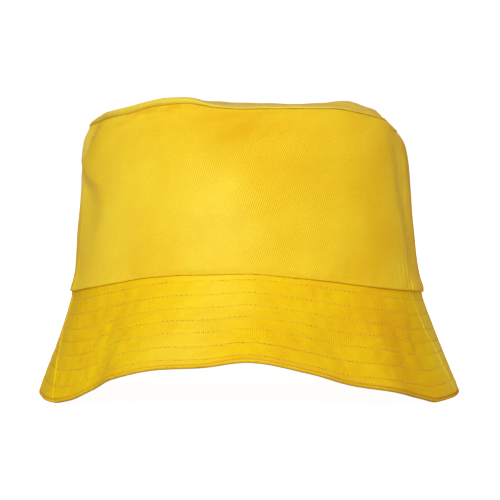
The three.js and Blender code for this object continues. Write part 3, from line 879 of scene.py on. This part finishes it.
def upper_ply(name, at_back, columns, rows, replaced):
    share, run = np.meshgrid(
        with_close_edges(columns, BRIM_ROUND), (1 - HEM / BRIM_WIDTH) * with_close_edges(rows, BRIM_DROP))
    bearing = between_seams(BRIM_SEAMS, run, share, at_back)
    bare = brim_place(bearing, run, 0)
    out = facing(bare)
    across, along = run_length(bare, 1), run_length(bare, 0)
    stitch = row_layer(bearing, run, brim_length(bearing))
    side = np.minimum(across, across[:, -1:] - across)
    hem = along[-1:] - along
    relief = brim_relief(bearing, along, stitch[..., 1])
    relief = relief * np.clip(np.minimum(hem, along) / (4 * MM), 0.15, 1)
    ridge = SIDE_RIDGE * np.exp(-((side - 1.6 * MM) / (1.2 * MM)) ** 2)
    swell = SEAM_SWELL * np.exp(-(along / (2.2 * MM)) ** 2)
    outer = bare + out * (relief + ridge + swell)[..., None]
    inner = bare - out * PLY
    outer, inner = rolled(outer, inner, np.minimum(side, hem), PLY_ROLL)
    edge = np.exp(-np.minimum(side, hem) / (1.0 * MM))
    pale, deep = tones_and_painted_light(BRIM_TONES_AND_PAINTED_LIGHT, bearing, run)
    # Painted shade in the recess under the crown's hem, in the deeper patches and in the crack above the hem.
    shade = SEAM_SHADE * np.exp(-along / (0.8 * MM)) + DEEP * deep
    shade = shade + HEM_SHADE * hem_line(bearing) * np.exp(-hem / (0.7 * MM))
    # A painted highlight along the edges of the brim's right half, growing towards the rim.
    right_edge_highlight = np.where(np.sin(np.radians(bearing)) > 0, RIGHT_EDGE_HIGHLIGHT * run, 0) * edge
    marks = np.stack([right_edge_highlight + PALE * pale, shade, np.sin(np.radians(bearing)) ** 4], -1)
    ply = cloth_piece(name, outer, inner, np.stack([across, along], -1), marks, rows=stitch)
    ply.data.materials.append(stitched_twill)
    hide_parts(replaced)


upper_ply("front_brim", at_back=False, columns=500, rows=124, replaced="brim_upper_front")
upper_ply("back_brim", at_back=True, columns=460, rows=112, replaced="brim_upper_back")


# The brim's under ply is the same twill, and the same rows hold it to the upper one. At the rim it rolls out
# below the upper ply as a narrow round hem, on which the hat stands at its sides.

UNDER_LIGHT = (0.97, 0.78, 0.006, 1)
UNDER_DEEP = (0.68, 0.34, 0.001, 1)
BEHIND = PLY + GAP
HEM_SWELL = 0.12 * MM
UNDER_WAVE = 0.2 * MM
HEM_ROLL = 1.25 * MM
UNDER_ROLL = 0.6 * MM
HEM_PALE = 0.2
HEM_CRACK_SHADE = 1.6
UNDER_SMOOTH = 0.5
# How far from the rim the mesh's rows lie, in mm: close where the hem is rolled.
ROWS_START = 5
NEAR_ROWS = np.concatenate([np.arange(4.6, 2.9, -0.4), np.arange(2.8, -0.01, -0.14)])

under_twill = cloth_material("under_twill", UNDER_LIGHT, UNDER_DEEP, sheen=0.05)


def under_ply(name, at_back, columns, rows, seed, replaced):
    run = np.concatenate([
        np.linspace(0, 1 - ROWS_START * MM / BRIM_DROP, rows), 1 - NEAR_ROWS * MM / BRIM_DROP])
    share, run = np.meshgrid(with_close_edges(columns, BRIM_ROUND), run)
    bearing = between_seams(BRIM_SEAMS, run, share, at_back)
    from_rim = (1 - run) * BRIM_DROP
    step = np.clip((from_rim - (HEM - GAP)) / (0.5 * MM), 0, 1)
    outer = brim_place(bearing, run, BEHIND * step * step * (3 - 2 * step))
    inner = brim_place(bearing, run, BEHIND + PLY)
    out = facing(brim_place(bearing, run, 0))
    across = run_length(outer, 1)
    along = run * BRIM_DROP
    side = np.minimum(across, across[:, -1:] - across)
    swell = HEM_SWELL * unevenness(seed, across, along, 5 * MM, 40 * MM) * (step < 0.5)
    outer = outer + out * swell[..., None]
    wave = UNDER_WAVE * unevenness(seed + 1, across, along, 9 * MM, 9 * MM) * np.clip(from_rim / (6 * MM), 0, 1)
    inner = inner - out * np.abs(wave)[..., None]
    outer, inner = rolled(outer, inner, from_rim, HEM_ROLL)
    outer, inner = rolled(outer, inner, side, UNDER_ROLL)
    for face in (outer, inner):
        face[..., 2] = np.maximum(face[..., 2], 0)
    bead = np.exp(-((from_rim - 0.8 * MM) / (0.9 * MM)) ** 2)
    # Painted shade in the crack where the hem rolls out below the upper ply.
    crack_shade = HEM_CRACK_SHADE * hem_line(bearing) * np.exp(-((from_rim - HEM) / (0.6 * MM)) ** 2)
    marks = np.stack([HEM_PALE * bead, crack_shade, np.full_like(bead, UNDER_SMOOTH)], -1)
    ply = cloth_piece(name, outer, inner, np.stack([across, along], -1), marks)
    ply.data.materials.append(under_twill)
    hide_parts(replaced)


under_ply("front_under_brim", at_back=False, columns=320, rows=26, seed=71, replaced="brim_under_front")
under_ply("back_under_brim", at_back=True, columns=360, rows=26, seed=75, replaced="brim_under_back")


# The topstitching is cotton thread in the brim's own yellow, in seven rows of short stitches. Each stitch
# dips into the cloth at both its ends and lies in its row's channel.

THREAD_RADIUS = 0.17 * MM
THREAD_SIDES = 6
THREAD_DEEP = (0.86, 0.55, 0.004, 1)
THREAD_LIGHT = (0.94, 0.7, 0.02, 1)
STRAND_SCALE = 2600.0
TWIST_DEPTH = 0.05 * MM
# A small step to either side, in degrees and in share of the way to the rim, to find the cloth's slope.
TURN_STEP = 0.05
RUN_STEP = 0.002
# A stitch's own line: shares of its length from its middle, and how high it lies at each.
STITCH_PARTS = np.array([-0.43, -0.3, 0, 0.3, 0.43])
STITCH_RISE = np.array([-0.3, -0.02, 0.08, -0.02, -0.3]) * MM
THREAD_LIFT = 0.06 * MM

stitch_points, stitch_faces = [], []
for row, counts in enumerate(row_counts):
    number = int(round(counts[-1] - counts[0]))
    middle = math.ceil(counts[0]) + 0.5 + np.arange(number - 1)
    count = middle[:, None] + STITCH_PARTS[None, :]
    bearing = np.interp(count, counts, row_bearings)
    run = row_run(row, bearing)
    spot = brim_place(bearing, run, 0)
    forward = brim_place(bearing + TURN_STEP, run, 0) - brim_place(bearing - TURN_STEP, run, 0)
    down = brim_place(bearing, run + RUN_STEP, 0) - brim_place(bearing, run - RUN_STEP, 0)
    forward /= np.linalg.norm(forward, axis=-1, keepdims=True)
    out = np.cross(down, forward)
    out /= np.linalg.norm(out, axis=-1, keepdims=True)
    sideways = np.cross(out, forward)
    along = run * brim_length(bearing)
    relief = brim_relief(bearing, along, np.zeros_like(run))
    spot = spot + out * (relief + STITCH_RISE + THREAD_LIFT)[..., None]
    turns = np.arange(THREAD_SIDES) * 2 * math.pi / THREAD_SIDES
    ring = np.cos(turns)[:, None] * out[:, :, None] + np.sin(turns)[:, None] * sideways[:, :, None]
    rings = spot[:, 1:-1, None] + ring[:, 1:-1] * THREAD_RADIUS
    per = 3 * THREAD_SIDES + 2
    base = sum(len(block) for block in stitch_points)
    block = np.concatenate([spot[:, :1], rings.reshape(len(spot), -1, 3), spot[:, -1:]], 1)
    stitch_points.append(block.reshape(-1, 3))
    pattern = []
    for side in range(THREAD_SIDES):
        after = (side + 1) % THREAD_SIDES
        pattern.append((0, 1 + after, 1 + side))
        pattern.append((per - 1, per - 1 - THREAD_SIDES + side, per - 1 - THREAD_SIDES + after))
        for level in (0, 1):
            low, high = 1 + level * THREAD_SIDES, 1 + (level + 1) * THREAD_SIDES
            pattern.append((low + side, low + after, high + after, high + side))
    for stitch in range(len(spot)):
        start = base + stitch * per
        stitch_faces += [tuple(start + corner for corner in face) for face in pattern]

topstitching = smooth_object("brim_topstitching", np.concatenate(stitch_points).tolist(), stitch_faces)
thread = bpy.data.materials.new("sewing_thread")
thread.use_nodes = True
tree = thread.node_tree
shader = tree.nodes["Principled BSDF"]
where = node(tree, "TexCoord").outputs["Object"]
strand = noise(tree, where, STRAND_SCALE, detail=2.0)
tree.links.new(mixed(tree, strand, THREAD_DEEP, THREAD_LIGHT), shader.inputs["Base Color"])
twist = node(tree, "Bump", {"Height": strand, "Strength": 0.5, "Distance": TWIST_DEPTH}).outputs["Normal"]
tree.links.new(twist, shader.inputs["Normal"])
shader.inputs["Roughness"].default_value = 0.55
shader.inputs["Sheen Weight"].default_value = 0.2
topstitching.data.materials.append(thread)
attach(topstitching, "root")
